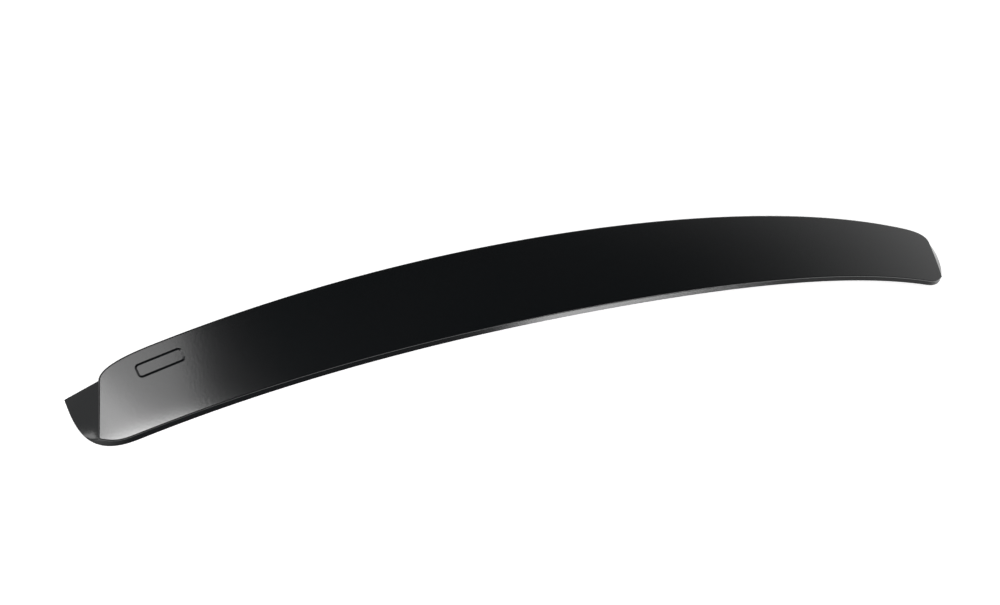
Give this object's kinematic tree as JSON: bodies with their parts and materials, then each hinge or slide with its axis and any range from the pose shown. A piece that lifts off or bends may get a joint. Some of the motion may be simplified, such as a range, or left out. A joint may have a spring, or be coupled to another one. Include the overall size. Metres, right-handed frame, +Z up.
{
  "type": "roof spoiler",
  "caption": "Slim roof spoiler blade that bonds to the rear edge of a car roof, with a flared fin at each end and a blank badge recess.",
  "frame": {"origin": "middle of the flat bonding land under the front edge, on its underside", "axes": "+X across the car, +Y towards the free rear edge, +Z up, as mounted on the car"},
  "size_m": [1.157, 0.1334, 0.0539],
  "materials": {
    "satin_black_plastic": "smooth satin black moulded plastic"
  },
  "bodies": {
    "root": {"spoiler_shell": "satin_black_plastic"}
  },
  "joints": []
}
